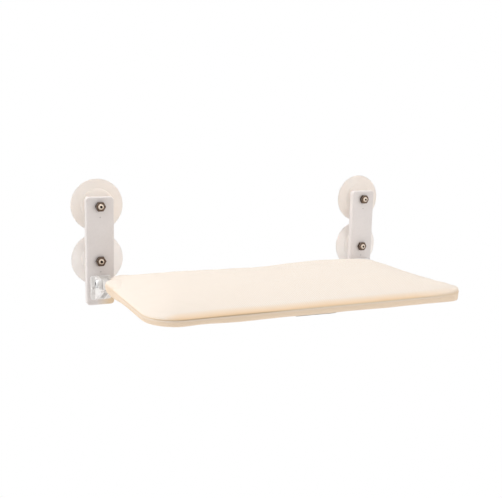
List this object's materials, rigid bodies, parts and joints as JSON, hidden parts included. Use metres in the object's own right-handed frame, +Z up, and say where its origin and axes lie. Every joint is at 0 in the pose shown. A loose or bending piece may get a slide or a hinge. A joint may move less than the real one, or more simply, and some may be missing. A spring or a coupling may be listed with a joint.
{
  "type": "window perch",
  "caption": "Window mounted cat perch: a thin padded rectangular bed on a tube frame, hinged to two upright plates that hold on to the glass with suction cups.",
  "frame": {"origin": "middle of the four suction cups, on the glass", "axes": "+Y into the window, +Z up, +X to the right for someone in the room"},
  "size_m": [0.513, 0.2731, 0.1793],
  "materials": {
    "plate_plastic": "satin",
    "cup_rubber": "soft translucent",
    "bracket_paint": "white paint",
    "steel": "zinc plated",
    "tube_paint": "white paint",
    "corner_plastic": "moulded",
    "cover_fabric": "air mesh",
    "seam_fabric": "folded tape",
    "foam": "foam",
    "closure": "hook and loop"
  },
  "bodies": {
    "left_mount": {"left_mount_plate": "plate_plastic", "left_upper_suction_cup": "cup_rubber", "left_lower_suction_cup": "cup_rubber", "left_cup_studs": "steel", "left_hex_nuts": "steel", "left_hinge_bracket": "bracket_paint", "left_bracket_screws": "steel", "left_hinge_pin": "steel", "left_pin_clip": "steel"},
    "bed": {"cover_top_panel": "cover_fabric", "cover_underside_panel": "cover_fabric", "cover_seam": "seam_fabric", "closure_tape": "closure", "foam_pad": "foam", "front_tube": "tube_paint", "rear_tube": "tube_paint", "left_side_tube": "tube_paint", "right_side_tube": "tube_paint", "left_front_corner": "corner_plastic", "right_front_corner": "corner_plastic", "left_rear_corner": "corner_plastic", "right_rear_corner": "corner_plastic", "frame_screws": "steel"},
    "right_mount": {"right_mount_plate": "plate_plastic", "right_upper_suction_cup": "cup_rubber", "right_lower_suction_cup": "cup_rubber", "right_cup_studs": "steel", "right_hex_nuts": "steel", "right_hinge_bracket": "bracket_paint", "right_bracket_screws": "steel", "right_hinge_pin": "steel", "right_pin_clip": "steel"}
  },
  "joints": [
    {"name": "bed_fold", "type": "hinge", "parent": "left_mount", "child": "bed", "pos_m": [0, -0.04, -0.0666], "axis": [-1, 0, 0], "range_deg": [0, 92]},
    {"name": "right_mount_fold", "type": "hinge", "parent": "bed", "child": "right_mount", "pos_m": [0, -0.04, -0.0666], "axis": [-1, 0, 0], "range_deg": [-92, 0]}
  ],
  "couplings": [
    {"joint": "right_mount_fold", "follows": "bed_fold", "ratio": -1}
  ]
}
